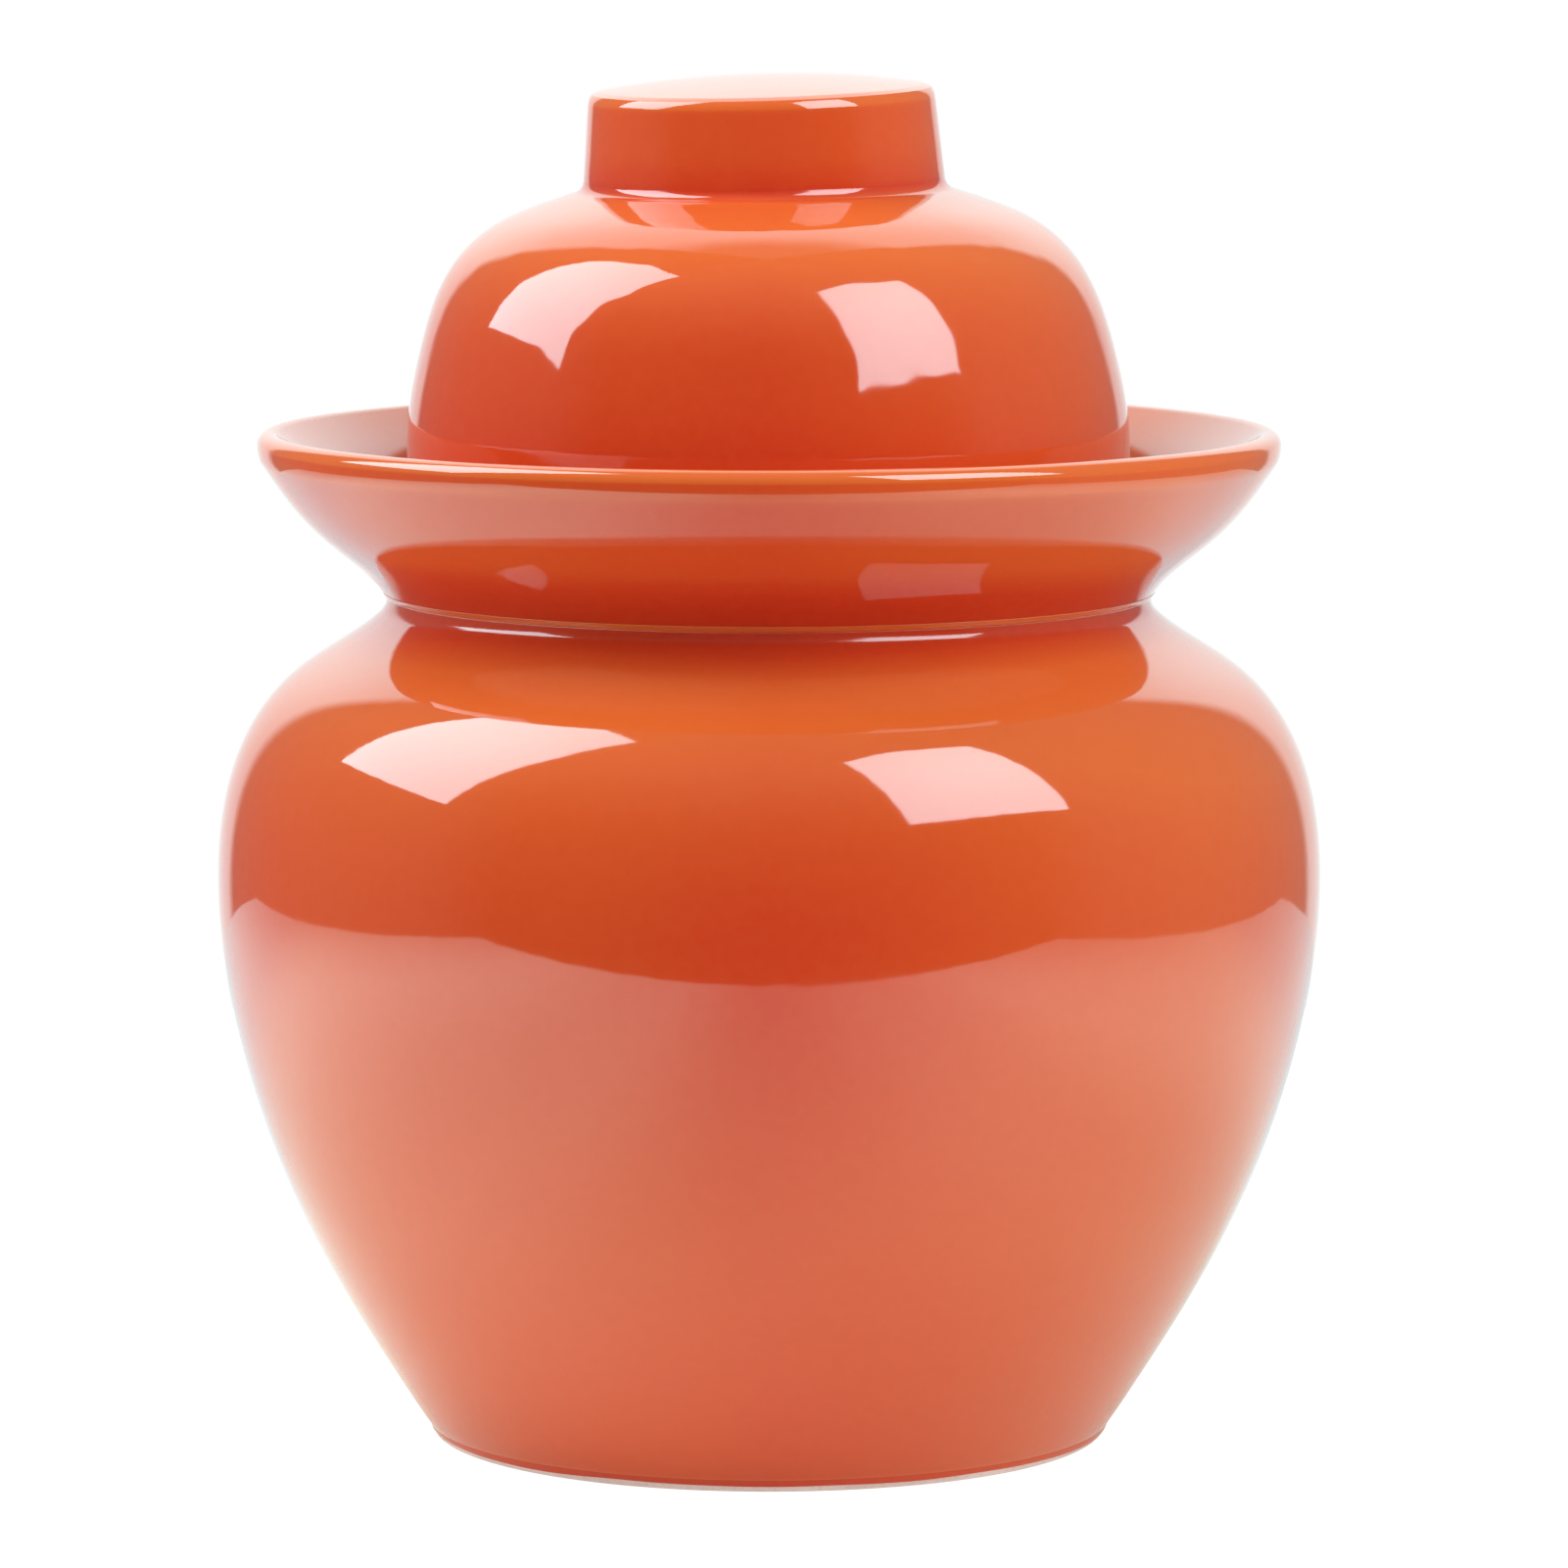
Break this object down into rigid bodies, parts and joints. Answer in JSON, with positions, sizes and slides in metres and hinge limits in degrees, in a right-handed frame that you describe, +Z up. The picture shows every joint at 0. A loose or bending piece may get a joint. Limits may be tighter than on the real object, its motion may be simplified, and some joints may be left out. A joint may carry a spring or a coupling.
{
  "type": "water seal pickle jar",
  "caption": "Round-bellied glazed ceramic pickling jar with a flared water dish round its mouth and a lift-off domed lid whose skirt stands in the water as an airtight seal.",
  "frame": {"origin": "centre of the foot ring's flat underside, on the surface that the jar stands on", "axes": "+Z up along the jar's axis of revolution, which is also the way the lid lifts; X and Y are alike"},
  "size_m": [0.2138, 0.2138, 0.2642],
  "materials": {
    "orange_glaze": "glossy orange-red glaze",
    "bare_clay": "matt unglazed fired clay"
  },
  "bodies": {
    "jar": {"jar_body": "orange_glaze", "foot_ring": "bare_clay", "water_dish": "orange_glaze", "mouth_collar": "orange_glaze"},
    "lid": {"lid_cover": "orange_glaze", "lid_knob": "orange_glaze", "lid_rim": "bare_clay"}
  },
  "joints": [
    {"name": "lid_lift", "type": "slide", "parent": "jar", "child": "lid", "axis": [0, 0, 1], "range_m": [0, 0.12]}
  ]
}
